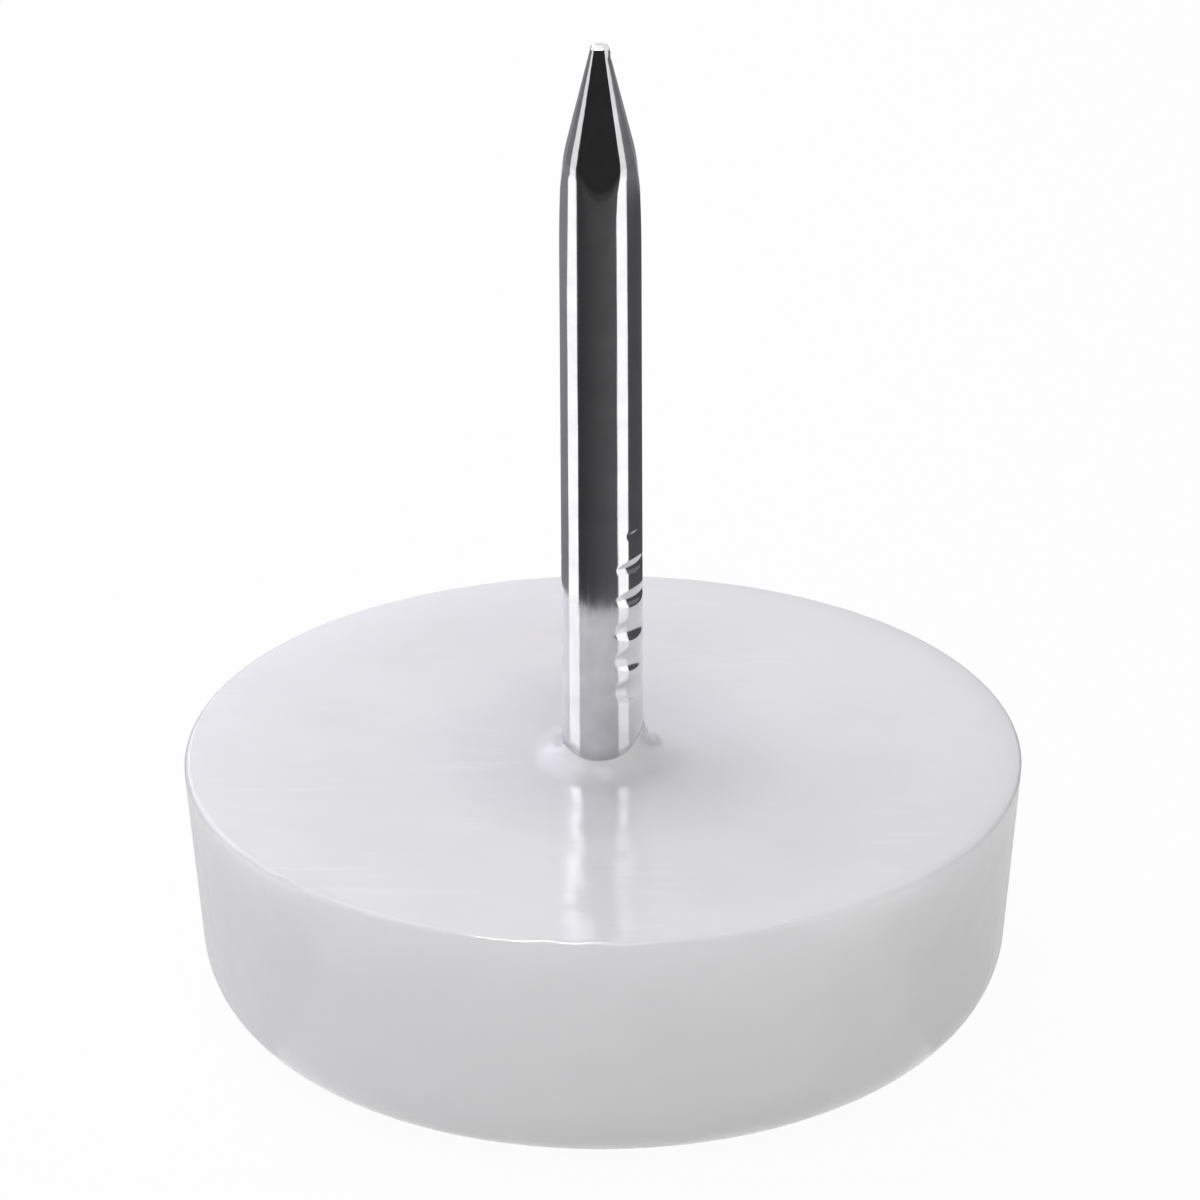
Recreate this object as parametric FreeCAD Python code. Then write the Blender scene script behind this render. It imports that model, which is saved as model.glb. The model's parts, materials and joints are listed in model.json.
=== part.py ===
import FreeCAD, Part
import math
import os

# Nail-on furniture glide: a plastic foot moulded round the head of a steel nail.
# Millimetres and degrees. +Z runs up the nail, and the origin is the centre of the sliding face.

# Moulded base, widest at the rim of its seat face
BASE_DIAMETER = 20.0
BASE_HEIGHT = 6.4
SIDE_DRAFT = 5.0
FOOT_EDGE_RADIUS = 2.1
RIM_RADIUS = 0.15

# Low hollow-sided collar of plastic drawn up round the nail
COLLAR_DIAMETER = 4.2
COLLAR_HEIGHT = 0.25

# Wire nail, with its flat head buried in the base
SHANK_DIAMETER = 1.93
NAIL_REACH = 18.25
HEAD_DIAMETER = 4.6
HEAD_THICKNESS = 0.8
HEAD_COVER = 2.0
NECK_FLARE = 0.3

# Diamond point: four flat facets on a blunt cone, which is left as a rounded ridge between them
FACET_COUNT = 4
FACET_ANGLE = 12.9
FACET_TIP_WIDTH = 0.37
FACET_SHOULDER_RADIUS = 8.0
FACET_RUNOUT = 0.01
CONE_ANGLE = 15.0
CONE_TIP_DIAMETER = 0.40
CONE_SHOULDER_RADIUS = 2.0
TIP_ROUND = 0.08

# Grip marks: rows of shallow dents on two opposite sides of the shank, left by toothed dies
GRIP_COUNT = 5
GRIP_PITCH = 0.8
GRIP_START = 2.0
GRIP_DEPTH = 0.04
TOOTH_NOSE_RADIUS = 0.45
TOOTH_CREST_RADIUS = 1.2
GRIP_DIRECTION = -32.0

AXIS = FreeCAD.Vector(0, 0, 1)
ORIGIN = FreeCAD.Vector(0, 0, 0)

# Points of a profile that are nearer than this are one point
SAME_POINT = 1e-6

seat_z = BASE_HEIGHT
collar_z = seat_z + COLLAR_HEIGHT
tip_z = seat_z + NAIL_REACH
shank_radius = SHANK_DIAMETER / 2


def rounded_face(corners):
    """A face in the XZ plane through (x, z, radius) corners, each rounded by its own radius."""
    points = [FreeCAD.Vector(x, 0, z) for x, z, radius in corners]
    edges = []
    stretches = []
    for i, (x, z, radius) in enumerate(corners):
        corner = points[i]
        back = (points[i - 1] - corner).normalize()
        ahead = (points[(i + 1) % len(points)] - corner).normalize()
        if radius == 0:
            stretches.append((corner, corner))
            continue
        half_angle = back.getAngle(ahead) / 2
        inward = (back + ahead).normalize()
        start = corner + back * (radius / math.tan(half_angle))
        middle = corner + inward * (radius / math.sin(half_angle) - radius)
        end = corner + ahead * (radius / math.tan(half_angle))
        edges.append(Part.Arc(start, middle, end).toShape())
        stretches.append((start, end))
    for i, (start, end) in enumerate(stretches):
        if start.distanceToPoint(stretches[i - 1][1]) > SAME_POINT:
            edges.append(Part.makeLine(stretches[i - 1][1], start))
    return Part.Face(Part.Wire(Part.__sortEdges__(edges)))


def turned(corners):
    """A solid turned about the nail's axis from its half section."""
    return rounded_face(corners).revolve(ORIGIN, AXIS, 360)


def taper_start(radius, half_tip, slope):
    """Height at which a taper that ends in the tip has widened to the given radius."""
    return tip_z - (radius - half_tip) / slope


def facet_cutters():
    """What the four pinching dies take away, each with a curved shoulder that runs out on the wire."""
    slope = math.tan(math.radians(FACET_ANGLE))
    half_tip = FACET_TIP_WIDTH / 2
    runout_radius = shank_radius + FACET_RUNOUT
    shoulder_z = taper_start(runout_radius, half_tip, slope)
    outer_radius = SHANK_DIAMETER
    over_z = tip_z + half_tip
    face = rounded_face(
        [
            (runout_radius, shoulder_z - SHANK_DIAMETER, 0),
            (runout_radius, shoulder_z, FACET_SHOULDER_RADIUS),
            (half_tip * (1 - slope), over_z, 0),
            (outer_radius, over_z, 0),
            (outer_radius, shoulder_z - SHANK_DIAMETER, 0),
        ]
    )
    face.translate(FreeCAD.Vector(0, -SHANK_DIAMETER, 0))
    cutters = []
    for i in range(FACET_COUNT):
        cutter = face.extrude(FreeCAD.Vector(0, 2 * SHANK_DIAMETER, 0))
        cutter.rotate(ORIGIN, AXIS, i * 360 / FACET_COUNT)
        cutters.append(cutter)
    return cutters


def grip_cutters():
    """Rings set off to one side of the shank, each biting as one hollow tooth of the two dies does."""
    cutters = []
    offset = shank_radius - GRIP_DEPTH - TOOTH_CREST_RADIUS
    ring_radius = TOOTH_CREST_RADIUS + TOOTH_NOSE_RADIUS
    for side in (0, 180):
        angle = math.radians(GRIP_DIRECTION + side)
        outward = FreeCAD.Vector(math.cos(angle), math.sin(angle), 0)
        for i in range(GRIP_COUNT):
            middle = outward * offset + AXIS * (seat_z + GRIP_START + i * GRIP_PITCH)
            ring = Part.makeTorus(ring_radius, TOOTH_NOSE_RADIUS, middle, AXIS)
            # The ring's seam is turned away from the wire
            ring.rotate(middle, AXIS, GRIP_DIRECTION + side + 180)
            cutters.append(ring)
    return cutters


def make_nail():
    """Headed wire blank, its neck flared under the collar, then its point and grip marks cut."""
    cone_slope = math.tan(math.radians(CONE_ANGLE))
    cone_tip = CONE_TIP_DIAMETER / 2
    head_top = HEAD_COVER + HEAD_THICKNESS
    blank = turned(
        [
            (0, HEAD_COVER, 0),
            (HEAD_DIAMETER / 2, HEAD_COVER, 0),
            (HEAD_DIAMETER / 2, head_top, 0),
            (shank_radius + NECK_FLARE, head_top, 0),
            (shank_radius, collar_z, 0),
            (shank_radius, taper_start(shank_radius, cone_tip, cone_slope), CONE_SHOULDER_RADIUS),
            (cone_tip, tip_z, TIP_ROUND),
            (0, tip_z, 0),
        ]
    )
    return blank.cut(facet_cutters() + grip_cutters())


def make_base(nail):
    """Drafted disc with a rounded foot edge and a collar, moulded tight round the nail."""
    rim_radius = BASE_DIAMETER / 2
    foot_radius = rim_radius - BASE_HEIGHT * math.tan(math.radians(SIDE_DRAFT))
    collar_width = COLLAR_DIAMETER / 2 - shank_radius
    collar_arc = (collar_width**2 + COLLAR_HEIGHT**2) / (2 * COLLAR_HEIGHT)
    collar_swing = math.asin(collar_width / collar_arc)
    collar_corner = COLLAR_DIAMETER / 2 - collar_arc * math.tan(collar_swing / 2)
    disc = turned(
        [
            (0, 0, 0),
            (foot_radius, 0, FOOT_EDGE_RADIUS),
            (rim_radius, seat_z, RIM_RADIUS),
            (collar_corner, seat_z, collar_arc),
            (shank_radius, collar_z, 0),
            (0, collar_z, 0),
        ]
    )
    return disc.cut(nail)


def main():
    os.makedirs("parts", exist_ok=True)
    nail = make_nail()
    base = make_base(nail)
    nail.exportStep("parts/nail.step")
    base.exportStep("parts/glide_base.step")


main()
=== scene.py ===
import json
import bpy
import numpy as np
from mathutils import Matrix, Vector


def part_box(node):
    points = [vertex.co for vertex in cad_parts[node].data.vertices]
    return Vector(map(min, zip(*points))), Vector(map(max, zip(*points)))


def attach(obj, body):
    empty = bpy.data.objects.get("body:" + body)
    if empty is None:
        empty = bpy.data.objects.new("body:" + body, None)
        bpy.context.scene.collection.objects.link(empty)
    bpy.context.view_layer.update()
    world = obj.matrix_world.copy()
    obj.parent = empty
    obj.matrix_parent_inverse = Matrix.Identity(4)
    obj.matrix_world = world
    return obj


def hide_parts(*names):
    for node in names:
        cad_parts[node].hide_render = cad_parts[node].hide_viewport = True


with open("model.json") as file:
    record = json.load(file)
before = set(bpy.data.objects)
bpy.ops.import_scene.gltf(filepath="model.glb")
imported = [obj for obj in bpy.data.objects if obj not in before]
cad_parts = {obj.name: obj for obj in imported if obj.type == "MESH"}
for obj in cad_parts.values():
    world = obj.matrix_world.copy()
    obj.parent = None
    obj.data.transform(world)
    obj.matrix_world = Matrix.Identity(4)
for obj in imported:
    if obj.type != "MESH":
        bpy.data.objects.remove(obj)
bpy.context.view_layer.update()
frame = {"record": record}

# Moulded base
# The foot that slides on the floor: a round disc of natural low-density polyethylene, injected round
# the nail's head. The mould parts at the rim, where it leaves a thin broken fin of flash, and the
# plastic has crept up the wire on one side.
MM = 0.001
mounts = {mount["name"]: mount for mount in frame["record"]["mounts"]}
base_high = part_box("glide_base")[1]
nail_low, nail_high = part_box("nail")
SEAT_Z = mounts["seat_face"]["pos_m"][2]
COLLAR_Z = base_high[2]
SHANK_RADIUS = mounts["nail_shank"]["dims"]["r_mm"] * MM
RIM_RADIUS = 10.0 * MM
RIM_ROUND = 0.15 * MM
SIDE_DRAFT = np.radians(5.0)
FOOT_RADIUS = RIM_RADIUS - SEAT_Z * np.tan(SIDE_DRAFT)
FOOT_ROUND = 2.1 * MM
COLLAR_RADIUS = 2.1 * MM
HEAD_RADIUS = nail_high[0]
HEAD_LOW = nail_low[2]
HEAD_HIGH = HEAD_LOW + 0.8 * MM
NECK_RADIUS = SHANK_RADIUS + 0.3 * MM
BASE_COLUMNS = 384


def stretch(start, end, count, ease=1.0):
    """Points on the straight line from start to end, which is left out; ease above 1 crowds the start."""
    share = np.linspace(0, 1, count, endpoint=False)[:, None] ** ease
    return np.array(start) + (np.array(end) - np.array(start)) * share


def bend(before, corner, after, radius, count):
    """Points on the arc that rounds a corner: centre on the bisector, tangent to both legs."""
    corner = np.array(corner)
    back = (before - corner) / np.linalg.norm(before - corner)
    ahead = (after - corner) / np.linalg.norm(after - corner)
    half = np.arccos(np.clip(back @ ahead, -1, 1)) / 2
    inward = (back + ahead) / np.linalg.norm(back + ahead)
    centre = corner + inward * radius / np.sin(half)
    swing = np.linspace(half - np.pi / 2, np.pi / 2 - half, count)[:, None]
    side = (ahead - back) / np.linalg.norm(ahead - back)
    return centre - inward * radius * np.cos(swing) + side * radius * np.sin(swing)


def uneven(angle, waves, seed):
    """A chance curve round the axis, about -1 to 1: a sum of cosines of 1 to waves turns, phases seeded."""
    phases = np.random.default_rng(seed).uniform(0, 2 * np.pi, waves)
    turns = np.arange(1, waves + 1)
    return np.cos(np.multiply.outer(angle, turns) + phases).sum(-1) / np.sqrt(waves)


def hump(angle, middle, width):
    """A smooth rise to 1 at one direction round the axis: a bell curve of the angle from it, in degrees."""
    away = np.degrees(np.angle(np.exp(1j * (angle - np.radians(middle)))))
    return np.exp(-((away / width) ** 2))


def turned_mesh(name, x, y, z, low_pole, high_pole):
    """A closed mesh from a grid of rows along the profile and columns round the axis, with a point at
    each pole."""
    rows, columns = x.shape
    points = np.stack([x, y, z], -1).reshape(-1, 3)
    points = np.vstack([points, low_pole, high_pole])
    index = np.arange(rows * columns).reshape(rows, columns)
    onward = np.roll(index, -1, axis=1)
    quads = np.stack([index[:-1], onward[:-1], onward[1:], index[1:]], -1).reshape(-1, 4)
    low = np.full(columns, rows * columns)
    fans = np.vstack(
        [
            np.stack([low, onward[0], index[0]], -1),
            np.stack([low + 1, index[-1], onward[-1]], -1),
        ]
    )
    mesh = bpy.data.meshes.new(name)
    mesh.from_pydata(points.tolist(), [], quads.tolist() + fans.tolist())
    mesh.shade_smooth()
    piece = bpy.data.objects.new(name, mesh)
    bpy.context.collection.objects.link(piece)
    return piece


foot_corner = np.array([FOOT_RADIUS, 0])
rim_corner = np.array([RIM_RADIUS, SEAT_Z])
collar_foot = np.array([COLLAR_RADIUS, SEAT_Z])
collar_top = np.array([SHANK_RADIUS, COLLAR_Z])
collar_width, collar_height = np.abs(collar_top - collar_foot)
collar_round = (collar_width**2 + collar_height**2) / (2 * collar_height)
collar_swing = np.linspace(0, np.arcsin(collar_width / collar_round), 30)
collar_hollow = np.stack([-np.sin(collar_swing), 1 - np.cos(collar_swing)], -1)
foot_arc = bend(np.zeros(2), foot_corner, rim_corner, FOOT_ROUND, 26)
rim_arc = bend(foot_corner, rim_corner, collar_foot, RIM_ROUND, 10)
outside = [
    stretch((0.02 * FOOT_RADIUS, 0), foot_arc[0], 12),
    foot_arc,
    stretch(foot_arc[-1], rim_arc[0], 20)[1:],
    rim_arc,
    stretch(rim_arc[-1], collar_foot, 70, ease=1.8)[1:],
    collar_foot + collar_round * collar_hollow,
]
inside = [
    stretch(collar_top, (NECK_RADIUS, HEAD_HIGH), 6)[1:],
    stretch((NECK_RADIUS, HEAD_HIGH), (HEAD_RADIUS, HEAD_HIGH), 3),
    stretch((HEAD_RADIUS, HEAD_HIGH), (HEAD_RADIUS, HEAD_LOW), 3),
    stretch((HEAD_RADIUS, HEAD_LOW), (0, HEAD_LOW), 6),
]
profile = np.vstack(outside + inside)
on_top = np.arange(len(profile)) >= sum(len(part) for part in outside[:3])
on_top &= np.arange(len(profile)) < sum(len(part) for part in outside)

# Flash left on the rim: the middle and half width of each length of it, in degrees, and its share of
# the full height
FLASH = [(-98.5, 9, 1.0), (-79.5, 3, 0.8), (-63.5, 3, 0.7), (-40, 4, 0.4), (-139, 11, 0.7), (-170, 5, 0.4)]
FLASH_TRACE = 0.12
FIN_INSET = 0.08 * MM
FIN_WIDTH = 0.07 * MM
FIN_HEIGHT = 0.07 * MM
SINK = 0.03 * MM
FIN_WAVES = 60
# Plastic crept up the wire: its height, middle and half width in degrees, on the right and on the left
CREEP = [(0.7 * MM, 5, 50), (0.12 * MM, 205, 30)]
CREEP_UNEVEN = 0.08
CREEP_WAVES = 6
CREEP_STEEPNESS = 6
angle = np.linspace(0, 2 * np.pi, BASE_COLUMNS, endpoint=False)
radius = np.repeat(profile[:, :1], BASE_COLUMNS, axis=1)
height = np.repeat(profile[:, 1:], BASE_COLUMNS, axis=1)
flash = FLASH_TRACE + sum(share * hump(angle, middle, width) for middle, width, share in FLASH)
fin = flash * np.clip(0.6 + 0.6 * uneven(angle, FIN_WAVES, seed=3), 0, 1.2)
fin_rise = FIN_HEIGHT * fin * np.exp(-(((radius - RIM_RADIUS + FIN_INSET) / FIN_WIDTH) ** 2))
sink_share = np.clip((radius - COLLAR_RADIUS) / (RIM_RADIUS - COLLAR_RADIUS), 0, 1)
sink_drop = SINK * np.sin(np.pi * sink_share) ** 2
creep = sum(rise * hump(angle, middle, width) for rise, middle, width in CREEP)
creep = creep * (1 + CREEP_UNEVEN * uneven(angle, CREEP_WAVES, seed=6))
up_collar = np.clip((COLLAR_RADIUS - radius) / collar_width, 0, 1)
height = height + on_top[:, None] * (fin_rise - sink_drop + creep * up_collar**CREEP_STEEPNESS)

base = turned_mesh(
    "moulded_base",
    radius * np.cos(angle),
    radius * np.sin(angle),
    height,
    (0, 0, 0),
    (0, 0, HEAD_LOW),
)


def linear(code):
    """An sRGB hex colour as linear RGBA: each channel c becomes ((c + 0.055) / 1.055) to the power 2.4."""
    channels = np.array([int(code[i : i + 2], 16) for i in (0, 2, 4)]) / 255
    low, high = channels / 12.92, ((channels + 0.055) / 1.055) ** 2.4
    return (*np.where(channels <= 0.04045, low, high), 1.0)


def add(tree, kind, sockets, **settings):
    """Adds a node: settings are its own fields, and sockets gives inputs a value or an output to link."""
    made = tree.nodes.new("ShaderNode" + kind)
    for field, value in settings.items():
        setattr(made, field, value)
    for socket, value in sockets.items():
        if isinstance(value, bpy.types.NodeSocket):
            tree.links.new(value, made.inputs[socket])
        else:
            made.inputs[socket].default_value = value
    return made


def milky_polyethylene():
    """Natural polyethylene as moulded: light sinks a few millimetres into it, so edges glow and
    shading is soft, under a smooth waxy skin with faint flow lines that mirrors the nail as a blur.
    On the top face patches of the flow lines are a little paler and less clear. Round the nail the colour
    is painted greyer, as painted shade for the nail and the steel head below, and the thin film on the wire
    lets no light run in it."""
    material = bpy.data.materials.new("milky_polyethylene_moulded")
    material.use_nodes = True
    tree = material.node_tree
    tree.nodes.clear()
    place = add(tree, "TexCoord", {}).outputs["Object"]
    level = add(tree, "Mapping", {"Vector": place, "Scale": (1, 1, 0)})
    from_axis = add(tree, "VectorMath", {0: level.outputs["Vector"]}, operation="LENGTH")
    # Painted shade: a mask that greys the colour round the nail, from 5.5 mm in to 2.2 mm, for the nail's
    # shade and the steel head below
    painted_shade_round_nail = add(
        tree,
        "MapRange",
        {"Value": from_axis.outputs["Value"], "From Min": 5.5 * MM, "From Max": 2.2 * MM, "To Max": 0.6},
        interpolation_type="SMOOTHSTEP",
    )
    off_film = add(
        tree,
        "MapRange",
        {"Value": from_axis.outputs["Value"], "From Min": 1.2 * MM, "From Max": 1.9 * MM},
        interpolation_type="SMOOTHSTEP",
    )
    clouds = add(tree, "TexNoise", {"Vector": place, "Scale": 1 / (3.0 * MM), "Detail": 3.0})
    mottled = add(
        tree,
        "Mix",
        {0: clouds.outputs["Fac"], 6: linear("F4F4F5"), 7: linear("EBEBEC")},
        data_type="RGBA",
    )
    # Mottled colour mixed towards DCDCE0 round the nail: painted shade, not the plastic's own colour
    tint = add(
        tree,
        "Mix",
        {0: painted_shade_round_nail.outputs["Result"], 6: mottled.outputs[2], 7: linear("DCDCE0")},
        data_type="RGBA",
    )
    skin = add(tree, "TexNoise", {"Vector": place, "Scale": 1 / (0.8 * MM), "Detail": 4.0})
    gloss = add(
        tree,
        "MapRange",
        {"Value": skin.outputs["Fac"], "To Min": 0.12, "To Max": 0.23},
    )
    patches = add(tree, "TexNoise", {"Vector": place, "Scale": 1 / (4.0 * MM), "Detail": 1.0})
    flow_strength = add(
        tree,
        "MapRange",
        {"Value": patches.outputs["Fac"], "From Min": 0.47, "From Max": 0.62, "To Min": 0.06, "To Max": 0.7},
    )
    swell = add(tree, "TexNoise", {"Vector": place, "Scale": 1 / (1.8 * MM), "Detail": 1.0})
    flow = add(
        tree,
        "Mapping",
        {"Vector": place, "Scale": (1 / (2.5 * MM), 1 / (0.35 * MM), 1 / (0.9 * MM))},
    )
    flow_lines = add(tree, "TexNoise", {"Vector": flow.outputs["Vector"], "Scale": 1.0, "Detail": 2.0})
    in_patches = add(
        tree,
        "MapRange",
        {"Value": patches.outputs["Fac"], "From Min": 0.5, "From Max": 0.66, "To Max": 0.26},
    )
    upward = add(tree, "SeparateXYZ", {"Vector": place})
    on_seat = add(
        tree,
        "MapRange",
        {
            "Value": upward.outputs["Z"],
            "From Min": SEAT_Z - 0.3 * MM,
            "From Max": SEAT_Z - 0.1 * MM,
            "To Max": in_patches.outputs["Result"],
        },
    )
    pale = add(
        tree,
        "MapRange",
        {
            "Value": flow_lines.outputs["Fac"],
            "From Min": 0.52,
            "From Max": 0.7,
            "To Max": on_seat.outputs["Result"],
        },
    )
    streaked = add(
        tree,
        "Mix",
        {0: pale.outputs["Result"], 6: tint.outputs[2], 7: linear("FFFFFF")},
        data_type="RGBA",
    )
    clear = add(tree, "Math", {0: 1.0, 1: pale.outputs["Result"]}, operation="SUBTRACT")
    depth = add(tree, "Math", {0: off_film.outputs["Result"], 1: clear.outputs[0]}, operation="MULTIPLY")
    wavy = add(
        tree,
        "Bump",
        {"Height": swell.outputs["Fac"], "Strength": 0.8, "Distance": 0.09 * MM},
    )
    waxy = add(
        tree,
        "Bump",
        {
            "Height": skin.outputs["Fac"],
            "Strength": 0.25,
            "Distance": 0.02 * MM,
            "Normal": wavy.outputs["Normal"],
        },
    )
    ripple = add(
        tree,
        "Bump",
        {
            "Height": flow_lines.outputs["Fac"],
            "Strength": flow_strength.outputs["Result"],
            "Distance": 0.02 * MM,
            "Normal": waxy.outputs["Normal"],
        },
    )
    plastic = add(
        tree,
        "BsdfPrincipled",
        {
            "Base Color": streaked.outputs[2],
            "Roughness": gloss.outputs["Result"],
            "IOR": 1.51,
            "Subsurface Weight": depth.outputs[0],
            "Subsurface Radius": (1.0, 0.97, 0.94),
            "Subsurface Scale": 2.6 * MM,
            "Normal": ripple.outputs["Normal"],
        },
    )
    add(tree, "OutputMaterial", {"Surface": plastic.outputs["BSDF"]})
    return material


base.data.materials.append(milky_polyethylene())
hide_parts("glide_base")
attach(base, "root")

# Nail
# Bright drawn steel wire, headed inside the base, gripped by toothed dies that left a row of dents on
# two sides, and pinched off into a four-facet point with a blunt tip.
TIP_Z = nail_high[2]
FACET_SLOPE = np.tan(np.radians(12.9))
FACET_HALF_TIP = 0.37 / 2 * MM
FACET_SHOULDER = 8.0 * MM
FACET_RUNOUT = 0.01 * MM
CONE_SLOPE = np.tan(np.radians(15.0))
CONE_HALF_TIP = 0.40 / 2 * MM
CONE_SHOULDER = 2.0 * MM
TIP_ROUND = 0.13 * MM
RIDGE_WEAR = 0.02 * MM
SHOULDER_WEAR = 0.06 * MM
SHOULDER_DROP = 3.9 * MM
SHOULDER_LENGTH = 0.7 * MM
GRIP_PITCH = 0.8 * MM
GRIP_START = SEAT_Z + 2.0 * MM
GRIP_DEPTH = np.array([0.04, 0.04, 0.038, 0.037, 0.037, 0.016]) * MM
GRIP_EDGE_WEAR = 0.012 * MM
# The teeth are worn blunt towards the base
TOOTH_NOSE = np.array([1.3, 1.3, 1.2, 0.55, 0.45, 0.45]) * MM
TOOTH_CREST = np.array([1.06, 1.07, 1.09, 1.18, 1.16, 1.15]) * MM
GRIP_ANGLE = np.radians(-32.0)
BURR_HEIGHT = 0.035 * MM
BURR_DROP = 0.16 * MM
BURR_LENGTH = 0.1 * MM
BURR_ANGLE = -15
BURR_WIDTH = 28
NAIL_COLUMNS = 192


def taper(z, half_tip, slope, widest, shoulder):
    """Half width of the point at a height: straight from the tip, then an arc tangent to the widest."""
    corner = TIP_Z - (widest - half_tip) / slope
    half_turn = np.arctan(slope) / 2
    reach = shoulder * np.tan(half_turn)
    start = corner - reach
    end = corner + reach * np.cos(2 * half_turn)
    arc = widest - shoulder + np.sqrt(np.maximum(shoulder**2 - (z - start) ** 2, 0))
    straight = half_tip + (TIP_Z - z) * slope
    return np.where(z < start, widest, np.where(z < end, arc, straight))


def soft_least(a, b, round_over):
    """The smaller of two lengths, with the corner between them rounded over the given length."""
    near = np.maximum(round_over - np.abs(a - b), 0) / round_over
    return np.minimum(a, b) - near**2 * round_over / 4


def grip_marks(angle, z):
    """Distance from the axis to the nearest tooth of the dies: its crest is a circle wider than the wire,
    set off to one side by what it bites, and its nose falls back from the crest as a circle does."""
    to_grip = np.mod(angle - GRIP_ANGLE + np.pi / 2, np.pi) - np.pi / 2
    row = np.clip(np.round((z - GRIP_START) / GRIP_PITCH), 0, len(GRIP_DEPTH) - 1).astype(int)
    nose = TOOTH_NOSE[row]
    off = np.minimum(np.abs(z - GRIP_START - row * GRIP_PITCH), nose)
    aside = SHANK_RADIUS - GRIP_DEPTH[row] - TOOTH_CREST[row]
    crest = aside * np.cos(to_grip) + np.sqrt(TOOTH_CREST[row] ** 2 - (aside * np.sin(to_grip)) ** 2)
    return crest + nose - np.sqrt(nose**2 - off**2)


def nail_section(angle, z):
    """Radius of the bare nail: the least of the round wire and cone, the nearest facet and the grip marks,
    with a small burr on one side of the tip. A flat at distance d in direction t has radius d over the
    cosine of the angle from t. The edge between them is worn most where the facets run out on the wire,
    by a bell curve up the nail, and the burr is a bell curve up the nail and round it."""
    to_facet = np.mod(angle + np.pi / 4, np.pi / 2) - np.pi / 4
    cone = taper(z, CONE_HALF_TIP, CONE_SLOPE, SHANK_RADIUS, CONE_SHOULDER)
    flat = taper(z, FACET_HALF_TIP, FACET_SLOPE, SHANK_RADIUS + FACET_RUNOUT, FACET_SHOULDER)
    by_shoulder = np.exp(-(((TIP_Z - z - SHOULDER_DROP) / SHOULDER_LENGTH) ** 2))
    wire = soft_least(cone, flat / np.cos(to_facet), RIDGE_WEAR + SHOULDER_WEAR * by_shoulder)
    up_burr = np.exp(-(((TIP_Z - z - BURR_DROP) / BURR_LENGTH) ** 2))
    burr = BURR_HEIGHT * up_burr * hump(angle, BURR_ANGLE, BURR_WIDTH)
    return soft_least(wire, grip_marks(angle, z), GRIP_EDGE_WEAR) + burr


# Rows up the bare nail, closest together where the grip marks and the point are
grip_low = GRIP_START - GRIP_PITCH / 2
grip_high = GRIP_START + (len(GRIP_DEPTH) - 0.5) * GRIP_PITCH
point_start = TIP_Z - (SHANK_RADIUS - FACET_HALF_TIP) / FACET_SLOPE - 1.0 * MM
shank_z = np.concatenate(
    [
        np.linspace(COLLAR_Z, grip_low, 10, endpoint=False),
        np.linspace(grip_low, grip_high, 150, endpoint=False),
        np.linspace(grip_high, point_start, 40, endpoint=False),
        np.linspace(point_start, TIP_Z - TIP_ROUND, 90),
    ]
)
turn = np.linspace(0, 2 * np.pi, NAIL_COLUMNS, endpoint=False)
hidden = np.vstack(
    [
        stretch((0.1 * HEAD_RADIUS, HEAD_LOW), (HEAD_RADIUS, HEAD_LOW), 4),
        stretch((HEAD_RADIUS, HEAD_LOW), (HEAD_RADIUS, HEAD_HIGH), 3),
        stretch((HEAD_RADIUS, HEAD_HIGH), (NECK_RADIUS, HEAD_HIGH), 3),
        stretch((NECK_RADIUS, HEAD_HIGH), (SHANK_RADIUS, COLLAR_Z), 6),
    ]
)
shank = nail_section(turn[None, :], shank_z[:, None])
over = np.linspace(0, np.pi / 2, 7)[1:, None]
tip_edge = shank[-1] - TIP_ROUND * (1 - np.cos(over))
tip_edge_z = TIP_Z - TIP_ROUND + TIP_ROUND * np.sin(over[:, 0])
tip_flat = tip_edge[-1] * np.linspace(1, 0.2, 5)[1:, None]
nail_radius = np.vstack([np.repeat(hidden[:, :1], NAIL_COLUMNS, axis=1), shank, tip_edge, tip_flat])
nail_z = np.concatenate([hidden[:, 1], shank_z, tip_edge_z, np.full(4, TIP_Z)])[:, None]
nail = turned_mesh(
    "wire_nail",
    nail_radius * np.cos(turn),
    nail_radius * np.sin(turn),
    nail_z + 0 * nail_radius,
    (0, 0, HEAD_LOW),
    (0, 0, TIP_Z),
)


def bright_drawn_steel():
    """Wire drawn through a die and plated bright: a near mirror, streaked along its length by the die."""
    material = bpy.data.materials.new("bright_steel_drawn_and_plated")
    material.use_nodes = True
    tree = material.node_tree
    tree.nodes.clear()
    place = add(tree, "TexCoord", {}).outputs["Object"]
    along = add(
        tree,
        "Mapping",
        {"Vector": place, "Scale": (1 / (0.08 * MM), 1 / (0.08 * MM), 1 / (6.0 * MM))},
    )
    streaks = add(tree, "TexNoise", {"Vector": along.outputs["Vector"], "Scale": 1.0, "Detail": 3.0})
    stain = add(tree, "TexNoise", {"Vector": place, "Scale": 1 / (0.6 * MM), "Detail": 4.0})
    tint = add(
        tree,
        "Mix",
        {0: stain.outputs["Fac"], 6: linear("ECECED"), 7: linear("CBCBCD")},
        data_type="RGBA",
    )
    gloss = add(
        tree,
        "MapRange",
        {"Value": streaks.outputs["Fac"], "To Min": 0.05, "To Max": 0.13},
    )
    lines = add(
        tree,
        "Bump",
        {"Height": streaks.outputs["Fac"], "Strength": 0.12, "Distance": 0.01 * MM},
    )
    steel = add(
        tree,
        "BsdfPrincipled",
        {
            "Base Color": tint.outputs[2],
            "Metallic": 1.0,
            "Roughness": gloss.outputs["Result"],
            "Normal": lines.outputs["Normal"],
        },
    )
    add(tree, "OutputMaterial", {"Surface": steel.outputs["BSDF"]})
    return material


nail.data.materials.append(bright_drawn_steel())
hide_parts("nail")
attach(nail, "root")

# Studio
# A white sweep under soft light from behind on the left and from the front, with dark and lit cards
# stood round it, out of the picture, so that the bright wire shows dark between two white stripes.
FLOOR_SIZE = 1.5
scene = bpy.context.scene
scene.view_settings.view_transform = "Standard"


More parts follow.
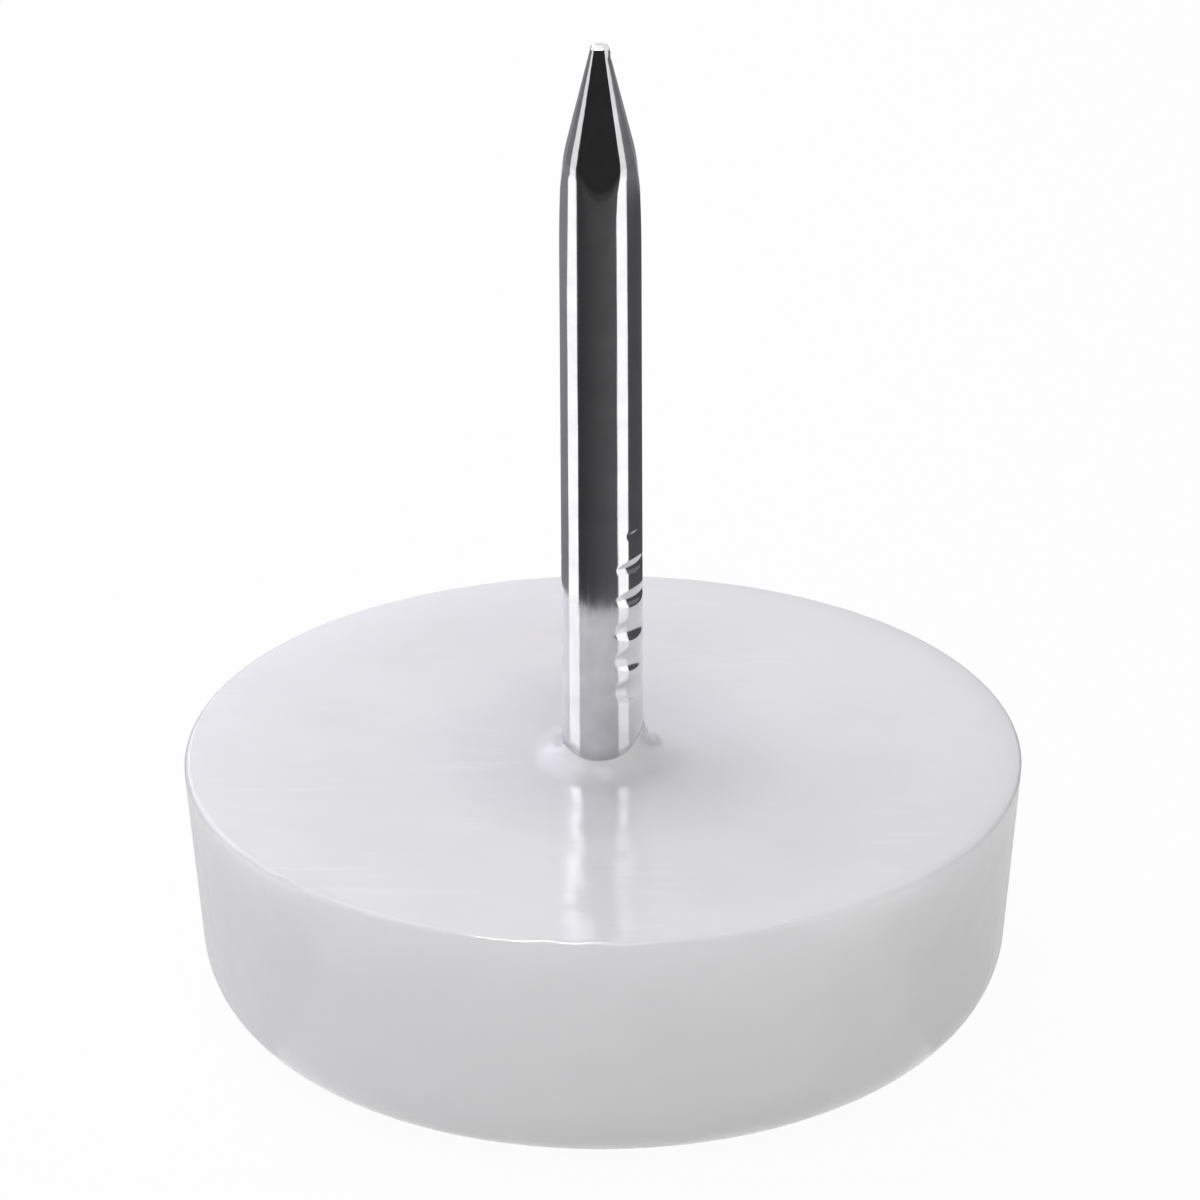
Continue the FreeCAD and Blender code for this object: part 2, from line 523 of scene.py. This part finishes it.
def sheet_of_card(name, points, faces, material):
    """A thin sheet through the given points, in metres, that is no part of the object."""
    mesh = bpy.data.meshes.new(name)
    mesh.from_pydata(np.array(points).tolist(), [], np.array(faces).tolist())
    mesh.materials.append(material)
    card = bpy.data.objects.new(name, mesh)
    bpy.context.collection.objects.link(card)
    return card


def seen_directly(tree):
    """1 for what the camera sees, straight or in metal or through glass, and 0 for light on its way."""
    path = add(tree, "LightPath", {})
    mirrored = add(
        tree,
        "Math",
        {0: path.outputs["Is Camera Ray"], 1: path.outputs["Is Glossy Ray"]},
        operation="MAXIMUM",
    )
    return add(
        tree,
        "Math",
        {0: mirrored.outputs[0], 1: path.outputs["Is Transmission Ray"]},
        operation="MAXIMUM",
    ).outputs[0]


def white_paper():
    """Matt white paper that keeps a faint shadow: where it is seen, most of it shows as plain white."""
    material = bpy.data.materials.new("white_paper_sweep")
    material.use_nodes = True
    tree = material.node_tree
    tree.nodes.clear()
    share = add(tree, "Math", {0: seen_directly(tree), 1: 0.96}, operation="MULTIPLY")
    paper = add(tree, "BsdfDiffuse", {"Color": linear("EEEEEE")})
    white = add(tree, "Emission", {"Strength": 1.0})
    seen = add(
        tree,
        "MixShader",
        {0: share.outputs[0], 1: paper.outputs[0], 2: white.outputs[0]},
    )
    add(tree, "OutputMaterial", {"Surface": seen.outputs[0]})
    return material


def grey_card(left, right):
    """Matt grey card, as used to shade a bright metal, graded from left to right by its direction
    from the object: the sideways part of the level unit vector towards it."""
    material = bpy.data.materials.new("matt_card_" + left)
    material.use_nodes = True
    tree = material.node_tree
    tree.nodes.clear()
    place = add(tree, "TexCoord", {}).outputs["Object"]
    level = add(tree, "Mapping", {"Vector": place, "Scale": (1, 1, 0)})
    towards = add(tree, "VectorMath", {0: level.outputs["Vector"]}, operation="NORMALIZE")
    sideways = add(tree, "SeparateXYZ", {"Vector": towards.outputs["Vector"]})
    onward = add(tree, "MapRange", {"Value": sideways.outputs["X"], "From Min": -0.9, "From Max": 0.5})
    shade = add(
        tree,
        "Mix",
        {0: onward.outputs["Result"], 6: linear(left), 7: linear(right)},
        data_type="RGBA",
    )
    card = add(tree, "BsdfDiffuse", {"Color": shade.outputs[2]})
    add(tree, "OutputMaterial", {"Surface": card.outputs[0]})
    return material


def lit_card(strength):
    """White card with an even lamp of its own: a highlight in metal, or, dim, a soft edge on the plastic."""
    material = bpy.data.materials.new("lit_card")
    material.use_nodes = True
    tree = material.node_tree
    tree.nodes.clear()
    glow = add(tree, "Emission", {"Strength": strength})
    add(tree, "OutputMaterial", {"Surface": glow.outputs[0]})
    return material


def card_for_mirrors(strength, depth_test):
    """Lit card that shows its lamp either in one mirror only (LESS_THAN), for the rim, or only in one
    mirror seen in another (GREATER_THAN), the steel in the plastic or the plastic in the steel. In the
    other case it is plain white, so that the pale top is not washed out or spotted."""
    material = bpy.data.materials.new("lit_card_for_mirrors")
    material.use_nodes = True
    tree = material.node_tree
    tree.nodes.clear()
    path = add(tree, "LightPath", {})
    shown = add(tree, "Math", {0: path.outputs["Ray Depth"], 1: 1.5}, operation=depth_test)
    power = add(tree, "Math", {0: shown.outputs[0], 1: strength - 1, 2: 1.0}, operation="MULTIPLY_ADD")
    glow = add(tree, "Emission", {"Strength": power.outputs[0]})
    add(tree, "OutputMaterial", {"Surface": glow.outputs[0]})
    return material


half = FLOOR_SIZE / 2
floor_corners = [(-half, -half, 0), (half, -half, 0), (half, half, 0), (-half, half, 0)]
sheet_of_card("floor", floor_corners, [(0, 1, 2, 3)], white_paper())

CARD_POINTS = 24
CARD_LIFT = 0.2 * MM
CARD_CLOSE = (9 * MM, CARD_LIFT)
CARD_INNER = (18 * MM, CARD_LIFT)
CARD_NEAR_OVER = (42 * MM, 2 * CARD_LIFT)
CARD_MIDDLE = (50 * MM, CARD_LIFT)
CARD_FAR = (70 * MM, CARD_LIFT)
CARD_FAR_OVER = (70 * MM, 2 * CARD_LIFT)
WALL_FOOT = (120 * MM, CARD_LIFT)
WALL_FOOT_OVER = (120 * MM, 2 * CARD_LIFT)
WALL_LOW = (120 * MM, 24 * MM)
WALL_TOP = (120 * MM, 120 * MM)
LAMP_LOW = (120 * MM, 48 * MM)
LAMP_HIGH = (120 * MM, 80 * MM)


def curved_card(name, bearings, low_edge, high_edge, material, high_bearings=None):
    """A ring on the floor or a wall round the object: the line between two (out, up) points, swept
    between two bearings, in degrees to the right of the camera, or two other ones at its high edge."""
    edges = []
    for (out, up), (start, end) in ((low_edge, bearings), (high_edge, high_bearings or bearings)):
        bearing = np.radians(np.linspace(start, end, CARD_POINTS))
        across = np.stack([np.sin(bearing), -np.cos(bearing), 0 * bearing], -1)
        edges.append(across * out + np.array([0, 0, up]))
    index = np.arange(CARD_POINTS - 1)
    faces = np.stack([index, index + 1, index + 1 + CARD_POINTS, index + CARD_POINTS], -1)
    card = sheet_of_card(name, np.vstack(edges), faces, material)
    card.visible_camera = False
    card.visible_diffuse = False
    card.visible_shadow = False


FRONT = (-69, 46)
LEFT_STRIPE = (-107, -69)
RIGHT_STRIPE = (46, 79)
RIGHT_BACK = (79, 172)
LEFT_BACK = (-172, -107)
LEFT_LOW = (-172, -90)
BEHIND = (62, 298)
RIM_LIGHT = (-43, 0)
curved_card("front_ring", FRONT, CARD_INNER, CARD_FAR, grey_card("424242", "6A6A6A"))
curved_card("front_far_ring", FRONT, CARD_FAR, WALL_FOOT, grey_card("3E3E3E", "515151"))
curved_card("front_wall", FRONT, WALL_FOOT, WALL_TOP, grey_card("383838", "3E3E3E"))
near_card = grey_card("606060", "606060")
far_card = grey_card("919191", "919191")
curved_card("edge_ring", BEHIND, CARD_CLOSE, CARD_INNER, lit_card(0.68))
curved_card("right_back_ring", RIGHT_BACK, CARD_INNER, CARD_MIDDLE, near_card)
curved_card("right_back_far_ring", RIGHT_BACK, CARD_MIDDLE, WALL_FOOT, far_card)
curved_card("right_back_wall", RIGHT_BACK, WALL_FOOT, WALL_LOW, far_card)
curved_card("left_back_ring", LEFT_BACK, CARD_INNER, WALL_FOOT, far_card)
curved_card("left_back_slant", LEFT_BACK, CARD_NEAR_OVER, CARD_FAR_OVER, far_card, LEFT_LOW)
curved_card("left_back_far_ring", LEFT_LOW, CARD_FAR_OVER, WALL_FOOT_OVER, far_card)
curved_card("left_back_wall", LEFT_LOW, WALL_FOOT, WALL_LOW, far_card)
rim_card = card_for_mirrors(36.0, "LESS_THAN")
curved_card("rim_light", RIM_LIGHT, (78 * MM, 89 * MM), (63 * MM, 104 * MM), rim_card)
stripe_card = lit_card(1.36)
stripe_end_card = lit_card(1.18)
for side, bearings, glow in (("left", LEFT_STRIPE, 6.5), ("right", RIGHT_STRIPE, 4.2)):
    curved_card(side + "_ring", bearings, CARD_INNER, CARD_FAR, stripe_card)
    curved_card(side + "_far_ring", bearings, CARD_FAR, WALL_FOOT, stripe_end_card)
    lamp_card = card_for_mirrors(glow, "GREATER_THAN")
    curved_card(side + "_lamp", bearings, LAMP_LOW, LAMP_HIGH, lamp_card)

AMBIENT = 0.40
world = bpy.data.worlds.new("studio")
scene.world = world
world.use_nodes = True
tree = world.node_tree
tree.nodes.clear()
room = add(tree, "Background", {"Color": (1, 1, 1, 1), "Strength": AMBIENT})
white = add(tree, "Background", {"Color": (1, 1, 1, 1), "Strength": 1.0})
seen = add(tree, "MixShader", {0: seen_directly(tree), 1: room.outputs[0], 2: white.outputs[0]})
add(tree, "OutputWorld", {"Surface": seen.outputs[0]})


def softbox(name, place, target, size, power, colour):
    """A square soft light that faces a target."""
    data = bpy.data.lights.new(name, "AREA")
    data.shape = "SQUARE"
    data.size = size
    data.energy = power
    data.color = linear(colour)[:3]
    lamp = bpy.data.objects.new(name, data)
    lamp.location = place
    lamp.rotation_euler = (Vector(target) - Vector(place)).to_track_quat("-Z", "Y").to_euler()
    bpy.context.collection.objects.link(lamp)
    return lamp


softbox("back_left", (-0.055, 0.055, 0.082), (0, 0, 0.006), 0.13, 0.068, "F0ECFF")
softbox("front", (0.0, -0.24, 0.30), (0, 0, 0.006), 0.25, 0.32, "FFFFFA")

# Camera
# A long lens that looks down at about 25 degrees, as the photograph was taken.
VIEW_DISTANCE = 250 * MM
ELEVATION = np.radians(25.4)
ROLL = np.radians(-0.3)
TARGET = np.array([-0.05, 0, 10.43]) * MM
PIXELS = 1200
PIXELS_PER_MM = 42.19
back = np.array([0, -np.cos(ELEVATION), np.sin(ELEVATION)])
level_up = np.array([0, np.sin(ELEVATION), np.cos(ELEVATION)])
level_right = np.array([1, 0, 0])
right = np.cos(ROLL) * level_right + np.sin(ROLL) * level_up
up = -np.sin(ROLL) * level_right + np.cos(ROLL) * level_up
camera = bpy.data.objects.new("camera", bpy.data.cameras.new("camera"))
camera.data.sensor_width = 36
camera.data.lens = camera.data.sensor_width * PIXELS_PER_MM * VIEW_DISTANCE / MM / PIXELS
camera.data.clip_start = 10 * MM
pose = np.eye(4)
pose[:3] = np.stack([right, up, back, TARGET + VIEW_DISTANCE * back], -1)
camera.matrix_world = Matrix(pose.tolist())
bpy.context.collection.objects.link(camera)
scene.camera = camera
